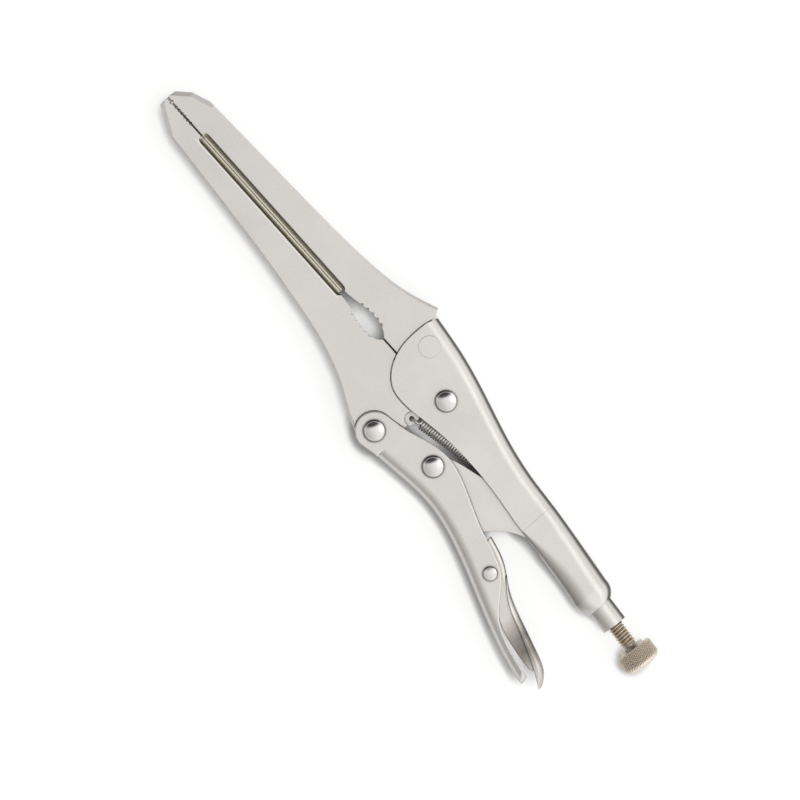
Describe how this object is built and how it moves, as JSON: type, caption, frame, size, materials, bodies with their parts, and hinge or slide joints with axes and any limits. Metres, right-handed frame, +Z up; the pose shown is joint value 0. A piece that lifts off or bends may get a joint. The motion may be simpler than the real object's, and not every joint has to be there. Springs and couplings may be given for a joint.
{
  "type": "locking pliers",
  "caption": "Long-reach locking pliers with slim straight jaws, a pipe grip, a spring-opened lever, a toggle link, a release lever and a screw that sets the grip.",
  "frame": {"origin": "centre of the tool's box on the surface it lies on", "axes": "+X along the jaw line from the jaw tip to the knob, +Y towards the back of the main handle, +Z up through the thickness of the tool as it lies on its side"},
  "size_m": [0.2802, 0.0714, 0.0166],
  "materials": {
    "jaw_plate": "forged steel, satin nickel plate",
    "handle_plate": "pressed steel sheet, satin nickel plate",
    "rivet_plate": "polished domed rivet heads",
    "screw_steel": "cut and knurled steel, thin dark plate",
    "spring_steel": "drawn spring wire"
  },
  "bodies": {
    "frame": {"main_handle": "handle_plate", "fixed_jaw": "jaw_plate", "jaw_pivot_rivet": "rivet_plate", "fixed_jaw_rivet": "rivet_plate", "jaw_spring": "spring_steel"},
    "jaw": {"moving_jaw": "jaw_plate"},
    "lever": {"lever_handle": "handle_plate", "lever_rivet": "rivet_plate", "link_rivet": "rivet_plate", "release_rivet": "rivet_plate"},
    "link": {"toggle_link": "handle_plate"},
    "release": {"release_lever": "handle_plate"},
    "stop_ring": {"screw_stop_ring": "screw_steel"},
    "screw": {"adjusting_screw": "screw_steel", "adjusting_knob": "screw_steel"}
  },
  "joints": [
    {"name": "jaw_hinge", "type": "hinge", "parent": "frame", "child": "jaw", "pos_m": [0.01516, 0.0145, 0.0083], "axis": [0, 0, 1], "range_deg": [0, 15], "deforming": ["jaw_spring"]},
    {"name": "lever_hinge", "type": "hinge", "parent": "jaw", "child": "lever", "pos_m": [0.00547, -0.0131, 0.0083], "axis": [0, 0, 1], "range_deg": [-51, 0]},
    {"name": "link_hinge", "type": "hinge", "parent": "lever", "child": "link", "pos_m": [0.03027, -0.0056, 0.0083], "axis": [0, 0, 1], "range_deg": [0, 58.5]},
    {"name": "release_hinge", "type": "hinge", "parent": "lever", "child": "release", "pos_m": [0.07466, -0.0165, 0.0083], "axis": [0, 0, 1], "range_deg": [-4, 0]},
    {"name": "screw_travel", "type": "slide", "parent": "frame", "child": "stop_ring", "axis": [0.9969, -0.0785, 0], "range_m": [0, 0.01778]},
    {"name": "screw_turn", "type": "hinge", "parent": "stop_ring", "child": "screw", "pos_m": [0.11617, 0.0059, 0.0083], "axis": [0.9969, -0.0785, 0], "range_deg": [0, 5040]}
  ],
  "couplings": [
    {"joint": "lever_hinge", "follows": "jaw_hinge", "ratio": -3.4},
    {"joint": "link_hinge", "follows": "jaw_hinge", "ratio": 3.9},
    {"joint": "screw_turn", "follows": "screw_travel", "rad_per_m": 4947.4}
  ]
}
